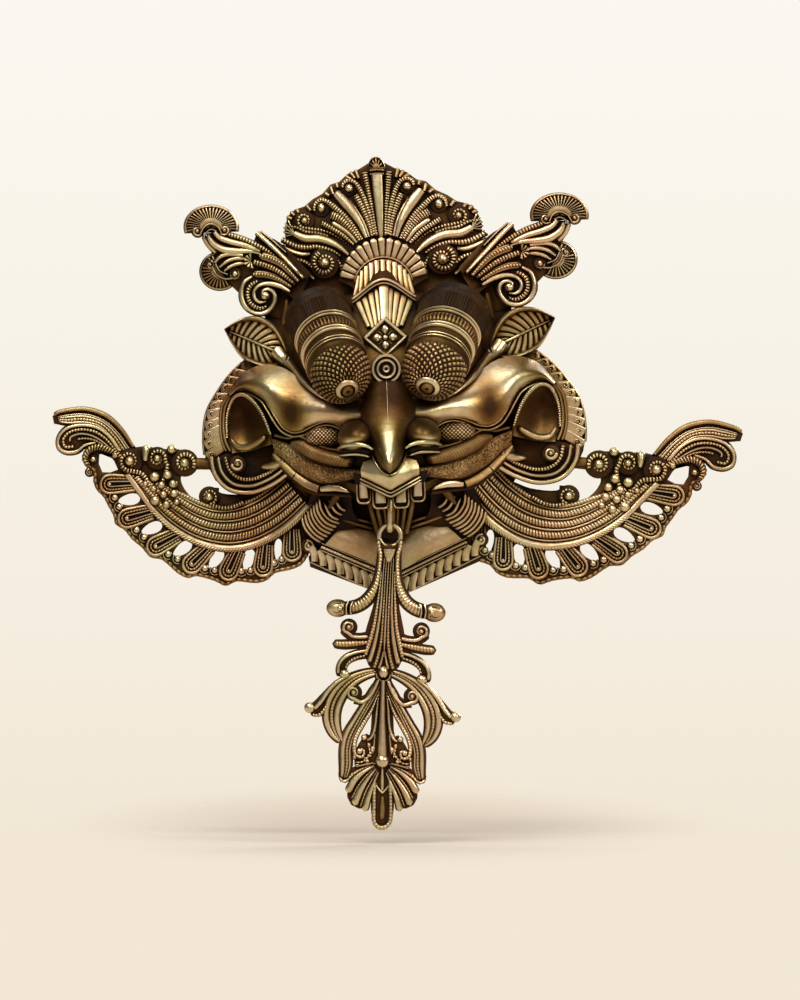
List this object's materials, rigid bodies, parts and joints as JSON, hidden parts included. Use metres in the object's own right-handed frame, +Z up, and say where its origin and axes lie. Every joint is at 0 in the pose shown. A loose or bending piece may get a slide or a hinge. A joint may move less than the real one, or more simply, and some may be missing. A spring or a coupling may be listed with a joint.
{
  "type": "yali face wall mask",
  "caption": "Cast brass yali face to hang on a wall, with spread feathered wings, a crowned brow and an openwork drop hooked under the teeth.",
  "frame": {"origin": "on the flat back, behind the middle tier of the tiara, on the plane of the wall", "axes": "+Z up the wall, +Y into the wall, so the face looks along -Y, and +X to the viewer's right"},
  "size_m": [0.46, 0.11, 0.45],
  "materials": {
    "antique_brass": "antiqued cast brass, dark in the hollows and rubbed bright on the ridges"
  },
  "bodies": {
    "root": {"mask": "antique_brass", "pendant": "antique_brass"}
  },
  "joints": []
}
